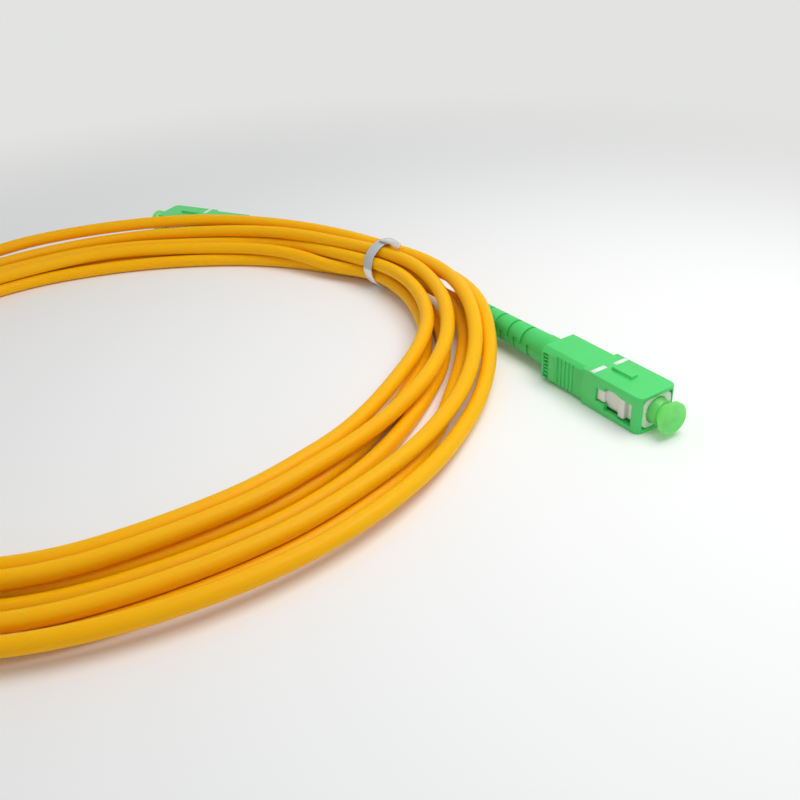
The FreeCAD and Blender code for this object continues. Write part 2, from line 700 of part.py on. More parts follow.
def clear_box(label, plug):
    """A box round a plug's housing and its stroke that keeps the coil off it."""
    gap = size("coil_clearance")
    item = doc.addObject("Part::Box", label)
    bind(item, "Length", size("grip_length") + size("grip_travel") + gap * 2)
    bind(item, "Width", size("grip_width") + gap * 2)
    bind(item, "Height", size("grip_height") + gap * 2)
    corner = FreeCAD.Vector((grip_rear - size("grip_travel") - gap).value,
                            -(size("grip_width") / 2 + gap).value, -(axis_height + gap).value)
    item.Placement = plug.Placement * FreeCAD.Placement(corner, FreeCAD.Rotation())
    return item


def cable_coil(label, plugs, tails):
    """The loose coil's outer shape, necked at the tie and hollowed where it lies over the plugs."""
    bearing = size("tie_bearing").value
    turns = [TIE_HALF_ARC + (360 - 2 * TIE_HALF_ARC) * i / COIL_STATIONS for i in range(COIL_STATIONS + 1)]
    sections = [coil_section(bearing - turn) for turn in turns]
    loft = doc.addObject("Part::Loft", f"{label}_loft")
    loft.Sections = sections
    loft.Solid = True
    loft.Ruled = True
    loft.Closed = True
    gap = size("coil_clearance")
    tools = list(tails)
    for letter, plug in plugs.items():
        radius = size("boot_collar_diameter") / 2 + gap
        tools.append(clear_tube(f"boot_room_{letter}", plug["boot"], boot_tail - gap, grip_rear, radius))
        tools.append(clear_box(f"housing_room_{letter}", plug["grip_housing"]))
    coil = loft
    for tool in tools:
        cut = doc.addObject("Part::Cut", f"{label}_room")
        cut.Base = coil
        cut.Tool = tool
        coil = cut
    coil.Label = label
    doc.recompute()
    return coil


def twist_tie(label):
    """Flat ribbon round the bundle, with its twisted end laid along the coil."""
    inner = size("bundle_radius") + size("tie_gap")
    outer = inner + size("tie_thickness")
    half = size("tie_width") / 2
    body = new_body(label)
    outline = sketch(body, "XY_Plane", [rectangle(-half, half, inner, outer)])
    band = body.newObject("PartDesign::Revolution", f"{label}_band")
    band.Profile = outline
    band.ReferenceAxis = (outline, ["H_Axis"])
    band.Angle = 360
    doc.recompute()
    tail_top = outer + size("tie_tail_thickness") - size("tie_thickness")
    pad(body, "XZ_Plane", [rectangle(-half, half + size("tie_tail_length"), outer - size("tie_thickness"),
                                     tail_top)], size("tie_width"))
    along = ring_place(size("tie_bearing").value, size("bundle_reach").value, bundle_height().value)
    body.Placement = FreeCAD.Placement(along.Base, FreeCAD.Rotation(Z_WAY, size("tie_bearing").value - 90))
    doc.recompute()
    return body


zero = as_size(0)
plugs = {
    "a": make_plug("a", zero, zero, zero),
    "b": make_plug("b", size("plug_b_x"), size("plug_b_y"), size("plug_b_heading")),
}
tails = []
for letter, route in (("a", TAIL_A_ROUTE), ("b", TAIL_B_ROUTE)):
    tail = cable_tail(f"cable_tail_{letter}", route)
    tail.Placement = plugs[letter]["boot"].Placement
    tails.append(tail)
doc.recompute()
coil = cable_coil("cable_coil", plugs, tails)
tie = twist_tie("twist_tie")

pieces = [body for plug in plugs.values() for body in plug.values()] + tails + [coil, tie]
for item in doc.Objects:
    if "Invalid" in item.State or "Error" in item.State:
        raise RuntimeError(f"{item.Label} failed: {item.State}")
for piece in pieces:
    if piece.Shape.isNull() or not piece.Shape.isValid() or not piece.Shape.Solids:
        raise RuntimeError(f"{piece.Label} has no valid solid")

os.makedirs("parts", exist_ok=True)
for piece in pieces:
    piece.Shape.exportStep(f"parts/{piece.Label}.step")
    print(f"{piece.Label}: {len(piece.Shape.Solids)} solid, {piece.Shape.Volume:.2f} mm3")
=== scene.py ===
# %% [markdown]
# # A coiled fibre optic patch cable
#
# The object is one yellow cable, three metres long, with a green square plug on each end. It lies coiled on
# a white table, and a clear ribbon ties it. The plugs' moulded, turned and crimped pieces come from the
# solid model, where their sizes are exact. This script adds what a solid model can't show: the cable as one
# flexible line, the tie's twisted ribbon, printed marks, surface finishes, light and a camera.

# %% Load the solid model, with each piece's place baked into its mesh
import math

import bmesh
import bpy
import numpy as np
from mathutils import Matrix, Vector


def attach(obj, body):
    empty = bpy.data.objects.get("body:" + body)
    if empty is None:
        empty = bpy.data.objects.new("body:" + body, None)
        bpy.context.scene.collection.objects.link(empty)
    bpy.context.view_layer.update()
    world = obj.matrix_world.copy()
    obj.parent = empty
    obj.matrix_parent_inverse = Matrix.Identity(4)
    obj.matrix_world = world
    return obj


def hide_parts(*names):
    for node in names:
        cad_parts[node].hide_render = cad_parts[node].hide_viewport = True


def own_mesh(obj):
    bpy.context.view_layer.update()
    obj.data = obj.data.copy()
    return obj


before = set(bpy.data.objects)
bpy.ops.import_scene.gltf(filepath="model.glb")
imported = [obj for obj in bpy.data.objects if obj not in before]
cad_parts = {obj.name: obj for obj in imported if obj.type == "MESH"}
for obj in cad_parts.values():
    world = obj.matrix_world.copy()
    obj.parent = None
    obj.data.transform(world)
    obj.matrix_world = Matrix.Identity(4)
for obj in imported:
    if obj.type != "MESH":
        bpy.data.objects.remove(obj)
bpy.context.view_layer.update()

# Sizes are in millimetres unless a comment says otherwise, and this turns them into metres.
MM = 0.001


# %% [markdown]
# ## The camera
#
# The photograph looks down on the front plug from in front and to its right, about 30 degrees above the
# table. A camera could be aimed at a target with a constraint, but this one is also rolled a little, so it
# is set as a position, two angles and a roll. The lens follows from how fast things shrink with distance.
# Three unit vectors, the camera's right, up and backward directions, make the columns of its matrix.

# %% Camera
CAMERA_PLACE = Vector((102.4, -107.5, 89.0)) * MM
CAMERA_YAW = math.radians(148.54)
CAMERA_PITCH = math.radians(31.10)
CAMERA_ROLL = math.radians(-3.54)
SENSOR_MM = 36.0
LENS_MM = 40.5
NEAREST_SEEN = 1 * MM


def new_object(name, data):
    """An object that shows this data, linked to the scene."""
    item = bpy.data.objects.new(name, data)
    bpy.context.scene.collection.objects.link(item)
    return item


look = Vector((math.cos(CAMERA_YAW) * math.cos(CAMERA_PITCH),
               math.sin(CAMERA_YAW) * math.cos(CAMERA_PITCH),
               -math.sin(CAMERA_PITCH)))
level = Vector((math.sin(CAMERA_YAW), -math.cos(CAMERA_YAW), 0))
upright = level.cross(look)
right = level * math.cos(CAMERA_ROLL) + upright * math.sin(CAMERA_ROLL)
up = upright * math.cos(CAMERA_ROLL) - level * math.sin(CAMERA_ROLL)

camera = new_object("camera", bpy.data.cameras.new("camera"))
camera.data.sensor_width = SENSOR_MM
camera.data.lens = LENS_MM
camera.data.clip_start = NEAREST_SEEN
turned = Matrix((right, up, -look)).transposed().to_4x4()
camera.matrix_world = Matrix.Translation(CAMERA_PLACE) @ turned
bpy.context.scene.camera = camera
print("camera", [round(c / MM, 1) for c in CAMERA_PLACE], "mm")

# %% [markdown]
# ## The cable's route
#
# A stiff 3 mm cable wound by hand never makes a perfect helix. The tie squeezes all the turns into one
# round bundle, and away from it they fan out, cross and slump to the table, and the outer ones climb over
# the plugs' boots. A helix formula would wind them too evenly, and points set one by one along three metres
# would be hard to change. So the route is given as cross sections of the coil, each saying where its turns
# lie.
#
# A section's key is its bearing from the coil's middle, in degrees. It lists the turns in the order in
# which they are wound. A turn is a distance from the coil's middle and a height above the table, both in mm
# and at the cable's own centre.

# %% Coil sections, from the tie round and back to it
COIL_SECTIONS = {
    84: [(77.0, 6.5), (75.4, 8.9), (72.4, 8.7), (68.7, 7.0), (68.6, 3.0), (71.2, 1.5), (72.0, 5.7)],
    72: [(77.8, 8.5), (75.0, 9.7), (70.7, 8.1), (67.2, 6.1), (66.3, 1.7), (69.3, 1.6), (74.6, 5.3)],
    62: [(77.4, 7.1), (74.7, 8.4), (69.4, 7.2), (64.8, 5.6), (64.5, 1.6), (68.9, 1.5), (73.2, 2.8)],
    52: [(76.3, 2.9), (73.5, 5.2), (66.8, 6.0), (60.2, 4.9), (61.3, 1.5), (65.6, 1.5), (69.2, 1.5)],
    40: [(74.0, 2.0), (70.9, 4.4), (62.4, 4.6), (57.4, 4.5), (59.6, 1.5), (63.6, 1.5), (69.4, 1.5)],
    30: [(73.8, 2.7), (70.2, 4.7), (60.4, 4.5), (56.8, 4.4), (59.0, 1.5), (63.2, 1.5), (69.9, 1.5)],
    20: [(73.7, 3.5), (68.2, 4.3), (58.4, 4.6), (55.3, 4.5), (58.8, 1.5), (62.6, 1.5), (69.5, 1.5)],
    -8: [(73.2, 3.7), (67.7, 4.1), (58.3, 4.55), (55.2, 4.4), (58.5, 1.5), (61.9, 1.5), (69.2, 1.5)],
    -30: [(74.5, 3.8), (70.5, 4.0), (62.2, 4.5), (59.1, 4.4), (61.6, 1.5), (64.9, 1.5), (72.2, 1.5)],
    -90: [(75.4, 3.8), (71.4, 3.8), (64.1, 4.2), (61.0, 4.2), (62.4, 1.5), (65.6, 1.5), (73.4, 1.5)],
    -120: [(75.9, 4.2), (72.2, 4.6), (66.6, 4.55), (63.5, 4.55), (63.4, 1.5), (66.6, 1.5), (73.6, 1.5)],
    -150: [(76.2, 4.6), (72.8, 4.4), (69.1, 4.2), (66.0, 4.2), (64.5, 1.5), (67.6, 1.5), (70.7, 1.5)],
    -180: [(75.3, 8.0), (71.6, 5.4), (67.2, 4.6), (64.0, 4.6), (64.0, 1.5), (67.1, 1.5), (70.2, 1.5)],
    -197: [(73.6, 8.5), (72.3, 5.4), (68.1, 4.6), (65.0, 4.6), (62.2, 1.5), (65.3, 1.5), (68.4, 1.5)],
    -218: [(72.2, 9.1), (68.9, 6.9), (66.9, 4.2), (63.8, 4.2), (62.3, 1.5), (65.4, 1.5), (68.5, 1.5)],
    -240: [(71.2, 9.0), (68.2, 8.3), (68.4, 5.2), (65.3, 4.7), (65.6, 1.5), (68.6, 1.5), (71.6, 1.5)],
    -252: [(71.8, 8.8), (68.9, 8.0), (67.0, 5.8), (64.4, 3.2), (67.3, 1.5), (70.0, 3.6), (72.4, 1.6)],
}
print(len(COIL_SECTIONS), "sections, with turns:", {len(section) for section in COIL_SECTIONS.values()})

# %% [markdown]
# Seven turns pass through the tie eight times. There the cable lies packed: one pass in the middle of the
# bundle and the others in a ring round it. A loop walks round the coil in even steps, and reads each point
# between the two nearest sections, or between a section and the tie. A smooth spline of low order then
# behaves like the cable, because it can't kink. It runs inside its points, so they stand a little further
# out.

# %% Points of the coil
COIL_MIDDLE = (-64.2, -74.0)
TIE_BEARING = 97.0
BUNDLE_REACH = 71.3
BUNDLE_HEIGHT = 5.45
SLOT_RADIUS = 3.5
# Direction of each pass in degrees, seen along the bundle: 0 is outwards, 90 up, and None the middle.
TIE_SLOTS = [10, 61, 113, 164, 216, 267, None, -40]
TURNS = len(TIE_SLOTS) - 1
STEPS_PER_TURN = 36
STAND_OUT = 1 / math.cos(math.pi / STEPS_PER_TURN)


def in_tie(direction):
    """Distance from the coil's middle and height of a pass through the tie, in mm."""
    if direction is None:
        return BUNDLE_REACH, BUNDLE_HEIGHT
    angle = math.radians(direction)
    return BUNDLE_REACH + SLOT_RADIUS * math.cos(angle), BUNDLE_HEIGHT + SLOT_RADIUS * math.sin(angle)


def on_coil(bearing, reach, height):
    """A point of the coil in mm, from its bearing in degrees."""
    angle = math.radians(bearing)
    return COIL_MIDDLE[0] + reach * math.cos(angle), COIL_MIDDLE[1] + reach * math.sin(angle), height


def coil_points():
    """Spline points of every turn, from the tie to the last turn's end in it."""
    travelled = [0] + [TIE_BEARING - bearing for bearing in COIL_SECTIONS] + [360]
    points = []
    for turn in range(TURNS):
        lay = [section[turn] for section in COIL_SECTIONS.values()]
        lay = [in_tie(TIE_SLOTS[turn])] + lay + [in_tie(TIE_SLOTS[turn + 1])]
        reaches, heights = zip(*lay)
        for step in range(STEPS_PER_TURN):
            gone = 360 * step / STEPS_PER_TURN
            reach = np.interp(gone, travelled, reaches) * STAND_OUT
            points.append(on_coil(TIE_BEARING - gone, reach, np.interp(gone, travelled, heights)))
    reach, height = in_tie(TIE_SLOTS[-1])
    return points + [on_coil(TIE_BEARING, reach * STAND_OUT, height)]


coil = coil_points()
print("coil", len(coil), "points, up to", round(max(height for *_, height in coil), 1), "mm high")

# %% [markdown]
# Each end of the cable runs straight through its boot and then bends gently into the tie. These few points
# lie within a millimetre of the solid model's cable ends. Plug B's are easiest to write along its own axis,
# so a small function turns them into the table's frame.

# %% Cable ends
PLUG_B_PLACE = (-129.5, -25.3)
PLUG_B_HEADING = math.radians(211)
AXIS_HEIGHT = 3.7
JACKET_START = -17.3
BOOT_TAIL = -41.0


def beside_plug_b(along, left, height):
    """A point given along and to the left of plug B's axis, in the table's frame, in mm."""
    c, s = math.cos(PLUG_B_HEADING), math.sin(PLUG_B_HEADING)
    return PLUG_B_PLACE[0] + along * c - left * s, PLUG_B_PLACE[1] + along * s + left * c, height


tail_b = [beside_plug_b(*point) for point in (
    (JACKET_START, 0, AXIS_HEIGHT), (-30, 0, AXIS_HEIGHT), (-43, 0.2, AXIS_HEIGHT), (-53.5, 3.5, 4.8))]
tail_a = [(-57, -0.3, 3.3), (-47, 0, 3.6), (BOOT_TAIL, 0, AXIS_HEIGHT), (-30, 0, AXIS_HEIGHT),
          (JACKET_START, 0, AXIS_HEIGHT)]
route = tail_b + coil + tail_a
print("route", len(tail_b), "+", len(coil), "+", len(tail_a), "points")

# %% [markdown]
# The cable could be a tube of mesh, but a curve object with a round bevel is its natural form: the spline
# is the centre line and the bevel the jacket, and a point can still be moved. The jacket's radius is kept
# on the points, with a bevel of one, because a curve's box is measured from its points' radii. The order is
# set after the points are there, because a spline with too few points falls back to straight runs.

# %% Cable
CABLE_RADIUS = 1.5
SPLINE_ORDER = 3
STEPS_BETWEEN_POINTS = 5
JACKET_ROUNDNESS = 5

cable_curve = bpy.data.curves.new("cable", "CURVE")
cable_curve.dimensions = "3D"
spline = cable_curve.splines.new("NURBS")
spline.points.add(len(route) - 1)
for point, place in zip(spline.points, route):
    point.co = (*[c * MM for c in place], 1)
    point.radius = CABLE_RADIUS * MM
spline.order_u = SPLINE_ORDER
spline.use_endpoint_u = True
spline.use_smooth = True
cable_curve.resolution_u = STEPS_BETWEEN_POINTS
cable_curve.bevel_depth = 1.0
cable_curve.bevel_resolution = JACKET_ROUNDNESS
cable_curve.use_fill_caps = True
cable = new_object("cable_jacket", cable_curve)
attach(cable, "cable")
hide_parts("cable_coil", "cable_tail_a", "cable_tail_b")
print("cable", len(route), "points,", round(spline.calc_length(), 3), "m")

# %% [markdown]
# ## Finishes
#
# Colours are read off the real thing as screen colours, but shaders work in linear light, so one function
# converts them. A second small function adds a node with its settings and its links. With those two, each
# material below reads as a short list of what the surface does.

# %% Colour and node helpers


def linear(hex_colour):
    """A screen colour such as #3fae5c as linear red, green, blue and alpha."""
    channels = [int(hex_colour[i:i + 2], 16) / 255 for i in (1, 3, 5)]
    return [c / 12.92 if c <= 0.04045 else ((c + 0.055) / 1.055) ** 2.4 for c in channels] + [1.0]


def blank(owner):
    """A material or a world without its default nodes."""
    owner.use_nodes = True
    owner.node_tree.nodes.clear()
    return owner


def add(owner, kind, settings=None, inputs=None):
    """Add a node; an input is a value, or another node's output to link from."""
    node = owner.node_tree.nodes.new(kind)
    for name, value in (settings or {}).items():
        setattr(node, name, value)
    for name, value in (inputs or {}).items():
        if isinstance(value, bpy.types.NodeSocket):
            owner.node_tree.links.new(value, node.inputs[name])
        else:
            node.inputs[name].default_value = value
    return node


print("middle grey #808080 in linear light", round(linear("#808080")[0], 3))

# %% [markdown]
# Two things come back in most of the finishes. A dye or a melt is never mixed quite evenly, so the colour
# wanders softly between two close tints. And the tool that shaped the surface leaves a fine grain, which is
# a bump map here, because real dents this small would need millions of faces. Both are noise in the
# object's own coordinates, with features of a size in millimetres.

# %% Uneven colour and fine grain


def per_metre(size_mm):
    """Scale of a pattern whose features are size_mm across, for coordinates in metres."""
    return 1 / (size_mm * MM)


def mottled(material, size_mm, deep_colour, light_colour):
    """Output of a colour that wanders between two tints, in patches size_mm across."""
    place = add(material, "ShaderNodeTexCoord")
    patches = add(material, "ShaderNodeTexNoise", inputs={
        "Vector": place.outputs["Object"], "Scale": per_metre(size_mm), "Detail": 2.0})
    tint = add(material, "ShaderNodeMix", {"data_type": "RGBA"}, {
        "Factor": patches.outputs["Fac"], "A": linear(deep_colour), "B": linear(light_colour)})
    return tint.outputs["Result"]


def grained(material, size_mm, depth_mm, strength, detail=2.0):
    """Outputs of a grain with features size_mm across, and of the surface normal that its bumps give."""
    place = add(material, "ShaderNodeTexCoord")
    grain = add(material, "ShaderNodeTexNoise", inputs={
        "Vector": place.outputs["Object"], "Scale": per_metre(size_mm), "Detail": detail})
    bump = add(material, "ShaderNodeBump", inputs={
        "Height": grain.outputs["Fac"], "Strength": strength, "Distance": depth_mm * MM})
    return grain.outputs["Fac"], bump.outputs["Normal"]


print("features 1 mm across have a scale of", per_metre(1))

# %% [markdown]
# ### Cable jacket: extruded PVC
#
# The jacket is drawn out of a die, so it is smooth along its length, with a faint waviness and a satin
# skin. Light goes a little way into the soft plastic and comes back redder, which is why its shaded side
# turns orange instead of grey. A plain yellow surface would miss that, so this one scatters light below its
# skin, and red goes furthest.

# %% Jacket material
# Noise hardly ever leaves this range, so a change of gloss is spread over it.
NOISE_LOW, NOISE_HIGH = 0.3, 0.7


def extruded_pvc_jacket():
    """Warm yellow with a broad, broken highlight along the cable and orange in its shade."""
    material = blank(bpy.data.materials.new("extruded_pvc_yellow"))
    waves, normal = grained(material, 0.9, depth_mm=0.05, strength=0.12, detail=3.0)
    gloss = add(material, "ShaderNodeMapRange", inputs={
        "Value": waves, "From Min": NOISE_LOW, "From Max": NOISE_HIGH, "To Min": 0.40, "To Max": 0.50})
    skin = add(material, "ShaderNodeBsdfPrincipled", inputs={
        "Base Color": mottled(material, 30, "#ffb600", "#ffbe00"),
        "Roughness": gloss.outputs["Result"], "Specular IOR Level": 0.16,
        "Subsurface Weight": 0.5, "Subsurface Radius": (1.0, 0.25, 0.02), "Subsurface Scale": 1.2 * MM,
        "Normal": normal})
    add(material, "ShaderNodeOutputMaterial", inputs={"Surface": skin.outputs["BSDF"]})
    return material


yellow_pvc = extruded_pvc_jacket()
cable_curve.materials.append(yellow_pvc)
print("jacket", yellow_pvc.name)

# %% [markdown]
# ### Plug housing and boot: moulded PBT and a soft elastomer
#
# The housing is injection moulded in a spark-eroded tool, which leaves a fine even grain and a satin gloss.
# The boot is a rubbery elastomer of nearly the same green, but duller. The two differ only in tint, gloss
# and grain, so one function makes both.

# %% Green materials
# How far the roughness strays either way.
GLOSS_SWING = 0.05


def moulded_green(name, deep_colour, light_colour, roughness, grain_mm, grain_depth):
    """Even green whose highlight the grain softens and breaks up."""
    material = blank(bpy.data.materials.new(name))
    grain, normal = grained(material, grain_mm, grain_depth, strength=0.25)
    gloss = add(material, "ShaderNodeMapRange", inputs={
        "Value": grain, "From Min": NOISE_LOW, "From Max": NOISE_HIGH,
        "To Min": roughness - GLOSS_SWING, "To Max": roughness + GLOSS_SWING})
    skin = add(material, "ShaderNodeBsdfPrincipled", inputs={
        "Base Color": mottled(material, 6, deep_colour, light_colour),
        "Roughness": gloss.outputs["Result"], "IOR": 1.54,
        "Subsurface Weight": 0.1, "Subsurface Radius": (0.2, 1.0, 0.35), "Subsurface Scale": 0.4 * MM,
        "Normal": normal})
    add(material, "ShaderNodeOutputMaterial", inputs={"Surface": skin.outputs["BSDF"]})
    return material


# Spark erosion leaves a grain of about 0.05 mm, too fine to show here, so both are drawn several times
# coarser.
green_pbt = moulded_green("moulded_pbt_green", "#44d268", "#4cdc70", 0.42, 0.25, 0.02)
green_elastomer = moulded_green("moulded_elastomer_green", "#3dc961", "#46d66b", 0.52, 0.4, 0.03)
print("greens", green_pbt.name, green_elastomer.name)

# %% [markdown]
# ### Plug frame: moulded white PBT
#
# The inner frame is the same resin without the dye: warm white and slightly see-through at its edges. Real
# transparency would show the pieces inside, so scattering below the surface gives that softness instead.

# %% White frame material


def moulded_white():
    """Warm white with soft edges, never chalky; its grain is drawn coarser than the real one, to show."""
    material = blank(bpy.data.materials.new("moulded_pbt_white"))
    _, normal = grained(material, 0.3, depth_mm=0.015, strength=0.15)
    skin = add(material, "ShaderNodeBsdfPrincipled", inputs={
        "Base Color": mottled(material, 4, "#e6e4dc", "#f0eee8"), "Roughness": 0.45, "IOR": 1.54,
        "Subsurface Weight": 0.2, "Subsurface Radius": (1.0, 0.9, 0.7), "Subsurface Scale": 0.5 * MM,
        "Normal": normal})
    add(material, "ShaderNodeOutputMaterial", inputs={"Surface": skin.outputs["BSDF"]})
    return material


white_pbt = moulded_white()
print("frame", white_pbt.name)

# %% [markdown]
# ### Dust cap: soft translucent polyethylene
#
# The cap is thin soft polyethylene with a little yellow-green dye. Part of the light goes straight through
# it and part is scattered inside. Glass alone would look too clear and scattering alone too solid, so the
# shader has some of each, mixed with a translucent one that brings light through from behind.

# %% Dust cap material
CAP_GLOW = 0.4


def soft_polyethylene():
    """Milky lime that glows at its edges and takes up the green behind it."""
    material = blank(bpy.data.materials.new("translucent_polyethylene_lime"))
    skin = add(material, "ShaderNodeBsdfPrincipled", inputs={
        "Base Color": mottled(material, 3, "#80f6a2", "#9efc98"), "Roughness": 0.28, "IOR": 1.51,
        "Transmission Weight": 0.5, "Subsurface Weight": 0.4, "Subsurface Radius": (0.8, 1.0, 0.3),
        "Subsurface Scale": 1.2 * MM})
    glow = add(material, "ShaderNodeBsdfTranslucent", inputs={"Color": linear("#ccffb0")})
    both = add(material, "ShaderNodeMixShader", inputs={
        "Fac": CAP_GLOW, 1: skin.outputs["BSDF"], 2: glow.outputs["BSDF"]})
    add(material, "ShaderNodeOutputMaterial", inputs={"Surface": both.outputs["Shader"]})
    return material


lime_polyethylene = soft_polyethylene()
print("cap", lime_polyethylene.name)

# %% [markdown]
# ### Inner metals, ceramic and fibre
#
# These pieces sit inside the plug and show only when a cap comes off or the plug is taken apart. They need
# no more than a true colour, the right gloss and a little unevenness in both, so one function makes them
# all.

# %% Inner materials
# How far marks change the roughness either way.
MARK_SWING = 0.06


def plain_finish(name, deep_colour, light_colour, pattern_mm, roughness, **skin_inputs):
    """A surface whose colour and gloss change together from spot to spot."""
    material = blank(bpy.data.materials.new(name))
    place = add(material, "ShaderNodeTexCoord")
    marks = add(material, "ShaderNodeTexNoise", inputs={
        "Vector": place.outputs["Object"], "Scale": per_metre(pattern_mm), "Detail": 3.0})
    tint = add(material, "ShaderNodeMix", {"data_type": "RGBA"}, {
        "Factor": marks.outputs["Fac"], "A": linear(deep_colour), "B": linear(light_colour)})
    gloss = add(material, "ShaderNodeMapRange", inputs={
        "Value": marks.outputs["Fac"],
        "To Min": roughness - MARK_SWING, "To Max": roughness + MARK_SWING})
    skin = add(material, "ShaderNodeBsdfPrincipled", inputs={
        "Base Color": tint.outputs["Result"], "Roughness": gloss.outputs["Result"], **skin_inputs})
    add(material, "ShaderNodeOutputMaterial", inputs={"Surface": skin.outputs["BSDF"]})
    return material


# Dense ceramic with a glassy polish: bright white with a hard, clear highlight.
zirconia = plain_finish("polished_zirconia", "#efeee8", "#f6f5f1", 2.0, 0.14, IOR=2.1)
# Nickel plate on turned brass: a warm grey mirror, blurred by tool marks that are drawn coarser than real
# ones.
nickel = plain_finish("turned_nickel_plate", "#b9b4a6", "#cfcabc", 0.3, 0.26, Metallic=1.0)
# Drawn wire: a cooler, duller grey.
spring_steel = plain_finish("drawn_spring_steel", "#9fa2a6", "#b9bcc0", 0.4, 0.3, Metallic=1.0)
# Crimped aluminium: paler, and dulled in patches by the tool's jaws.
crimp_metal = plain_finish("crimped_aluminium", "#b4b6b9", "#cbccce", 0.6, 0.35, Metallic=1.0)
# Extruded nylon: an off-white with hardly any shine.
fibre_buffer = plain_finish("nylon_fibre_buffer", "#e9e7dd", "#f5f3ea", 1.0, 0.45, IOR=1.53)
inner_finishes = (zirconia, nickel, spring_steel, crimp_metal, fibre_buffer)
print("inner pieces", [finish.name for finish in inner_finishes])

# %% [markdown]
# ## Dress the solid pieces
#
# The solids are exact but razor sharp, and no moulded or turned piece is. Rounding every edge in the solid
# model would be slow, so modifiers do it here. A weld joins the faces that the file format split, and a
# narrow bevel gives each edge the tiny round that catches the light. Its width is a real one, 0.03 to 0.1
# mm.

# %% Dress both plugs
# Each piece's finish, and the width of its rounded edges in mm.
PIECE_FINISH = {
    "grip_housing": (green_pbt, 0.10), "frame": (white_pbt, 0.06), "ferrule": (zirconia, 0.03),
    "ferrule_flange": (nickel, 0.03), "ferrule_spring": (spring_steel, 0), "stop_ring": (nickel, 0.03),
    "crimp_sleeve": (crimp_metal, 0.03), "buffered_fibre": (fibre_buffer, 0),
    "boot": (green_elastomer, 0.06), "dust_cap": (lime_polyethylene, 0.10),
}
WELD_REACH = 0.001 * MM
EDGE_SEGMENTS = 2
# Faces that meet at less than this belong to one curved surface.
SMALLEST_EDGE_ANGLE = math.radians(35)


def dress(node, material, edge_mm):
    """Give a piece its finish, smooth faces and rounded edges."""
    node.data.materials.clear()
    node.data.materials.append(material)
    weld = node.modifiers.new("weld", "WELD")
    weld.merge_threshold = WELD_REACH
    if edge_mm:
        edge = node.modifiers.new("edge", "BEVEL")
        edge.width = edge_mm * MM
        edge.segments = EDGE_SEGMENTS
        edge.limit_method = "ANGLE"
        edge.angle_limit = SMALLEST_EDGE_ANGLE
        edge.harden_normals = True
        edge.use_clamp_overlap = True
    for polygon in node.data.polygons:
        polygon.use_smooth = True


for letter in "ab":
    for piece, (material, edge_mm) in PIECE_FINISH.items():
        dress(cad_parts[f"plug_{letter}_{piece}"], material, edge_mm)
print("dressed", 2 * len(PIECE_FINISH), "plug pieces")

# %% [markdown]
# ## The ferrule springs
#
# When two plugs meet in an adapter, each ferrule is pushed back against its spring, which gets shorter. The
# solid spring is rigid, so a copy of its wire, in a mesh of its own, stands in for it here, and the solid
# one is hidden.

plug_places = {
    "a": Matrix.Identity(4),
    "b": Matrix.Translation(Vector((*PLUG_B_PLACE, 0)) * MM) @ Matrix.Rotation(PLUG_B_HEADING, 4, "Z"),
}
for letter, place in plug_places.items():
    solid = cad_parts[f"plug_{letter}_ferrule_spring"]
    wire = new_object(f"plug_{letter}_spring_wire", solid.data.copy())
    wire.matrix_world = solid.matrix_world
    dress(wire, spring_steel, 0)
    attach(wire, "cable")
    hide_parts(solid.name)
    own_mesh(wire)

# %% [markdown]
# ## The twist tie
#
# The tie is a flat clear ribbon. It goes round the bundle, where it is drawn tight over the outer turns,
# and its two ends are twisted together and pressed down along the coil. A curve with a flat bevel could
# make it, but its twist is hard to steer. So one function makes a ribbon from a list of stations. A station
# is a centre with two vectors, half the ribbon's width and half its thickness.

# %% Ribbon through stations
# Corners of the section, as shares of the two half sizes. They take the sharpness off the ribbon's edges.
RIBBON_CORNERS = [(-1.0, -0.4), (-0.9, -1.0), (0.9, -1.0), (1.0, -0.4),
                  (1.0, 0.4), (0.9, 1.0), (-0.9, 1.0), (-1.0, 0.4)]


def ribbon(name, stations, closed):
    """A flat strip through stations of centre, half width vector and half thickness vector."""
    mesh = bmesh.new()
    rings = []
    for centre, across, through in stations:
        rings.append([mesh.verts.new(centre + across * a + through * t) for a, t in RIBBON_CORNERS])
    pairs = list(zip(rings, rings[1:])) + ([(rings[-1], rings[0])] if closed else [])
    for here, there in pairs:
        for i in range(len(RIBBON_CORNERS)):
            j = (i + 1) % len(RIBBON_CORNERS)
            mesh.faces.new((here[i], here[j], there[j], there[i]))
    if not closed:
        mesh.faces.new(rings[0])
        mesh.faces.new(list(reversed(rings[-1])))
    bmesh.ops.recalc_face_normals(mesh, faces=mesh.faces)
    data = bpy.data.meshes.new(name)
    mesh.to_mesh(data)
    mesh.free()
    for polygon in data.polygons:
        polygon.use_smooth = True
    return new_object(name, data)


print("ribbon with", len(RIBBON_CORNERS), "corners in its section")

# %% [markdown]
# The band is a ring of stations just outside the outer passes. It has slipped a little towards plug A, and
# its centre line wavers slightly, because a ribbon tied by hand never runs quite true.

# %% Tie band
TIE_WIDTH = 3.0
TIE_THICKNESS = 0.35
TIE_GAP = 0.15
TIE_SLIP = 1.5
BAND_STEPS = 72
WAVER = 0.06
WAVER_COUNT = 9
WAVER_START = 0.7

bearing = math.radians(TIE_BEARING)
outward = Vector((math.cos(bearing), math.sin(bearing), 0))
along = Vector((math.sin(bearing), -math.cos(bearing), 0))
above = Vector((0, 0, 1))
bundle_centre = Vector(on_coil(TIE_BEARING, BUNDLE_REACH, BUNDLE_HEIGHT)) * MM + along * TIE_SLIP * MM
bundle_radius = (SLOT_RADIUS + CABLE_RADIUS + TIE_GAP) * MM

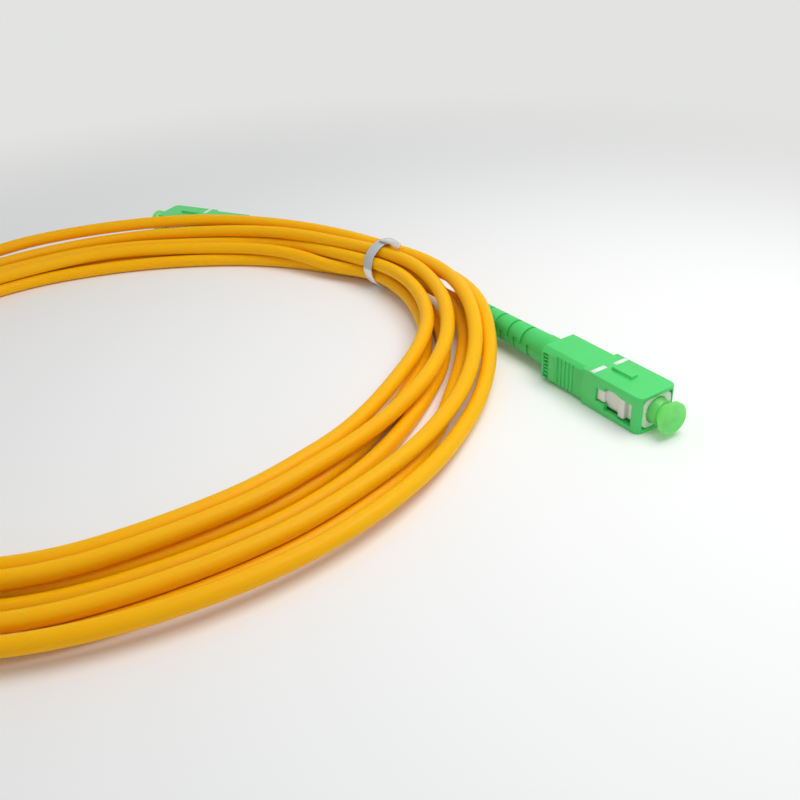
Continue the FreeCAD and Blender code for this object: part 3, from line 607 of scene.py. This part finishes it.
band = []
for step in range(BAND_STEPS):
    angle = 2 * math.pi * step / BAND_STEPS
    normal = outward * math.cos(angle) + above * math.sin(angle)
    waver = WAVER * MM * math.sin(WAVER_COUNT * angle + WAVER_START)
    band.append((bundle_centre + normal * (bundle_radius + TIE_THICKNESS / 2 * MM) + along * waver,
                 along * TIE_WIDTH / 2 * MM, normal * TIE_THICKNESS / 2 * MM))
tie_band = ribbon("tie_band", band, closed=True)
print("band", round(2 * bundle_radius / MM, 1), "mm across inside")

# %% [markdown]
# The two ends, twisted into one, are a narrower and thicker strip over the bundle. It starts on top of the
# band, arches a little, narrows, and turns about its own line, slowly at first.

# %% Twisted end
TAIL_LENGTH = 6.5
TAIL_BEHIND = 0.5
TAIL_LIFT = 0.25
TAIL_ARCH = 0.5
TAIL_HALF_WIDTH = 0.95
TAIL_NARROWING = 0.25
TAIL_HALF_THICKNESS = 0.25
TAIL_TWIST = math.radians(60)
TWIST_EASE = 1.3
TAIL_STEPS = 24

tail = []
for step in range(TAIL_STEPS + 1):
    share = step / TAIL_STEPS
    turn = TAIL_TWIST * share ** TWIST_EASE
    across = outward * math.cos(turn) + above * math.sin(turn)
    through = above * math.cos(turn) - outward * math.sin(turn)
    lift = bundle_radius + (TIE_THICKNESS + TAIL_LIFT + TAIL_ARCH * math.sin(math.pi * share)) * MM
    half_width = (TAIL_HALF_WIDTH - TAIL_NARROWING * share) * MM
    tail.append((bundle_centre + above * lift + along * (TAIL_LENGTH * share - TAIL_BEHIND) * MM,
                 across * half_width, through * TAIL_HALF_THICKNESS * MM))
tie_tail = ribbon("tie_twisted_end", tail, closed=False)
print("twisted end", TAIL_LENGTH, "mm long")

# %% [markdown]
# Clear PVC ribbon is hazy with handling, and its folds and edges look silvery. Round the lower half of the
# bundle the ribbon looks white. Over the top its colour is painted a silvery grey, a painted reflection.
# Two materials would need a seam between them, so one tint follows the height instead.

# %% Tie material
# The tint changes from the lower white to the painted reflection's grey, from this far below the bundle's
# middle to this far above it, in mm.
PAINTED_GREY_BELOW, PAINTED_GREY_ABOVE = 0.2, 0.4


def hazy_ribbon(name, lower_colour, painted_reflection_colour, clearness):
    """Whitish film that shines in creases, with a painted reflection: its colour turns grey above the
    bundle's middle.
    """
    material = blank(bpy.data.materials.new(name))
    place = add(material, "ShaderNodeTexCoord")
    height = add(material, "ShaderNodeSeparateXYZ", inputs={"Vector": place.outputs["Object"]})
    # Painted reflection: the colour turns from the lower white to a silvery grey over the top of the
    # bundle.
    upper_share = add(material, "ShaderNodeMapRange", inputs={
        "Value": height.outputs["Z"],
        "From Min": (BUNDLE_HEIGHT - PAINTED_GREY_BELOW) * MM, "From Max": (BUNDLE_HEIGHT + PAINTED_GREY_ABOVE) * MM})
    tint = add(material, "ShaderNodeMix", {"data_type": "RGBA"}, {
        "Factor": upper_share.outputs["Result"], "A": linear(lower_colour), "B": linear(painted_reflection_colour)})
    _, normal = grained(material, 1.2, depth_mm=0.08, strength=0.5, detail=3.0)
    skin = add(material, "ShaderNodeBsdfPrincipled", inputs={
        "Base Color": tint.outputs["Result"], "Roughness": 0.25, "IOR": 1.53,
        "Transmission Weight": clearness, "Normal": normal})
    add(material, "ShaderNodeOutputMaterial", inputs={"Surface": skin.outputs["BSDF"]})
    return material


# The band's silvery grey over the top is a painted reflection; the twisted end stays nearly white.
tie_band.data.materials.append(hazy_ribbon("hazy_pvc_ribbon_painted_reflection", "#fbfaf8", "#bec4c7", 0.05))
tie_tail.data.materials.append(hazy_ribbon("clear_pvc_ribbon", "#fbfaf8", "#f4f4f2", 0.35))
for item in (tie_band, tie_tail):
    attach(item, "cable")
    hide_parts("twist_tie")
    print(item.name, item.data.materials[0].name)

# %% [markdown]
# ## Printed marks
#
# Two white bars are pad printed on top of each housing, one each side of the key, to show when the plug is
# fully home. The pad is placed by hand, so the two don't quite line up. They could be painted in the
# housing's material, but ink has a real thickness, a few hundredths of a millimetre, so each bar is a thin
# closed strip on the surface. A bar is given by its rear, its front and how far to the left of the plug's
# axis its two ends lie.

# %% Printed bars
BARS = {"right": (0.0, 1.0, -4.2, -0.8), "left": (0.4, 1.35, 1.1, 4.2)}
HOUSING_TOP = 7.4
INK = 0.03


def printed_ink():
    """Flat white in which a trace of the green shows in specks."""
    material = blank(bpy.data.materials.new("pad_printed_white_ink"))
    skin = add(material, "ShaderNodeBsdfPrincipled", inputs={
        "Base Color": mottled(material, 0.25, "#e3f0e4", "#f7faf6"), "Roughness": 0.55})
    add(material, "ShaderNodeOutputMaterial", inputs={"Surface": skin.outputs["BSDF"]})
    return material


white_ink = printed_ink()
for letter, place in plug_places.items():
    for side, (rear, front, *ends) in BARS.items():
        stations = []
        for left in ends:
            centre = Vector(((rear + front) / 2, left, HOUSING_TOP + INK / 2)) * MM
            stations.append((place @ centre, place.to_3x3() @ Vector((front - rear, 0, 0)) / 2 * MM,
                             Vector((0, 0, INK / 2)) * MM))
        bar = ribbon(f"plug_{letter}_{side}_bar", stations, closed=False)
        bar.data.materials.append(white_ink)
        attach(bar, f"grip_{letter}")
        print(bar.name, round(ends[1] - ends[0], 1), "mm long,", white_ink.name)

# %% [markdown]
# ## Table and room
#
# The photograph has a white table that runs into a pale room without an edge. A curved backdrop could give
# that, but its bend would change the light on the object. Near the cable the table has to be a real
# surface, because it carries the shadows and throws yellow light back up between the strands. Further off
# it only has to look pale. There the material changes to an even glow for rays that come from the camera, a
# reflection or something clear, and to those rays the world shows the same glow. So the object mirrors it
# and shows it through what is clear, but isn't lit by it otherwise.

# %% What only has to be seen
BACKDROP = "#e3e4e2"


def seen_share(owner):
    """An output that is 1 for rays from the camera, reflections and clear things, and 0 for others."""
    ray = add(owner, "ShaderNodeLightPath")
    mirrored = add(owner, "ShaderNodeMath", {"operation": "MAXIMUM"}, {
        0: ray.outputs["Is Camera Ray"], 1: ray.outputs["Is Glossy Ray"]})
    shown = add(owner, "ShaderNodeMath", {"operation": "MAXIMUM"}, {
        0: mirrored.outputs["Value"], 1: ray.outputs["Is Transmission Ray"]})
    return shown.outputs["Value"]


print("backdrop", BACKDROP)

# %% [markdown]
# The table is one large square. Its laminate is a hard white skin with a dull sheen, so close to the cable
# it takes shadows and a faint yellow cast. A round gradient about the object says how far off a point is,
# and so how much of the glow shows there.

# %% Table
# Half of the table's side, in metres.
TABLE_HALF = 3.0
# The gradient's reach, its middle, and the ring in which the glow takes over.
TABLE_FADE = 500
FADE_MIDDLE = (-40, -50)
FADE_START, FADE_END = 100, 270


def white_laminate():
    """Dull white near the object, and the backdrop's even tone further off."""
    material = blank(bpy.data.materials.new("white_laminate_table"))
    place = add(material, "ShaderNodeTexCoord")
    spread = add(material, "ShaderNodeMapping", inputs={
        "Vector": place.outputs["Object"], "Location": [-c / TABLE_FADE for c in FADE_MIDDLE] + [0],
        "Scale": [per_metre(TABLE_FADE)] * 3})
    near = add(material, "ShaderNodeTexGradient", {"gradient_type": "SPHERICAL"}, {
        "Vector": spread.outputs["Vector"]})
    far = add(material, "ShaderNodeMapRange", {"interpolation_type": "SMOOTHSTEP"}, {
        "Value": near.outputs["Fac"],
        "From Min": 1 - FADE_START / TABLE_FADE, "From Max": 1 - FADE_END / TABLE_FADE})
    backdrop_share = add(material, "ShaderNodeMath", {"operation": "MULTIPLY"}, {
        0: seen_share(material), 1: far.outputs["Result"]})
    skin = add(material, "ShaderNodeBsdfPrincipled", inputs={
        "Base Color": linear("#f7f7f6"), "Roughness": 0.6, "Specular IOR Level": 0.25})
    glow = add(material, "ShaderNodeEmission", inputs={"Color": linear(BACKDROP)})
    both = add(material, "ShaderNodeMixShader", inputs={
        "Fac": backdrop_share.outputs["Value"], 1: skin.outputs["BSDF"], 2: glow.outputs["Emission"]})
    add(material, "ShaderNodeOutputMaterial", inputs={"Surface": both.outputs["Shader"]})
    return material


table_corners = [(x * TABLE_HALF, y * TABLE_HALF, 0) for x, y in ((-1, -1), (1, -1), (1, 1), (-1, 1))]
table_data = bpy.data.meshes.new("table")
table_data.from_pydata(table_corners, [], [(0, 1, 2, 3)])
table_data.materials.append(white_laminate())
table = new_object("table", table_data)
print("table", 2 * TABLE_HALF, "m wide, fading from", FADE_START, "to", FADE_END, "mm")

# %% [markdown]
# ## Light
#
# One broad round lamp hangs above the front plug, a little to the right of it in the picture. A sun or a
# far lamp would light the whole coil alike. This one is close, so what lies further from the plug gets less
# of its light, as in the photograph, and its width makes the shadows soft.

# %% Lamp
# The lamp's place and width, in metres.
LAMP_PLACE = Vector((0.03, 0.05, 0.21))
LAMP_WIDTH = 0.195
LAMP_WATTS = 0.35

lamp_data = bpy.data.lights.new("softbox", "AREA")
lamp_data.shape = "DISK"
lamp_data.size = LAMP_WIDTH
lamp_data.energy = LAMP_WATTS
lamp = new_object("softbox", lamp_data)
lamp.location = LAMP_PLACE
lamp.rotation_euler = (-LAMP_PLACE).to_track_quat("-Z", "Y").to_euler()
print("lamp", LAMP_WATTS, "W,", round(LAMP_WIDTH / MM), "mm wide")

# %% [markdown]
# The room's pale walls fill the shadows evenly, which is what a world background does. Together with the
# lamp they light the table near the plug to about pure white. The Standard view then shows each colour
# about as it is written.

# %% Room
ROOM_LIGHT = 0.52
ROOM_SEEN = 1.0

world = blank(bpy.data.worlds.new("white_room"))
room_light = add(world, "ShaderNodeBackground", inputs={"Color": linear("#f4f6f8"), "Strength": ROOM_LIGHT})
room_wall = add(world, "ShaderNodeBackground", inputs={"Color": linear(BACKDROP), "Strength": ROOM_SEEN})
room = add(world, "ShaderNodeMixShader", inputs={
    "Fac": seen_share(world), 1: room_light.outputs["Background"], 2: room_wall.outputs["Background"]})
add(world, "ShaderNodeOutputWorld", inputs={"Surface": room.outputs["Shader"]})
bpy.context.scene.world = world
bpy.context.scene.view_settings.view_transform = "Standard"
print("room light", ROOM_LIGHT)
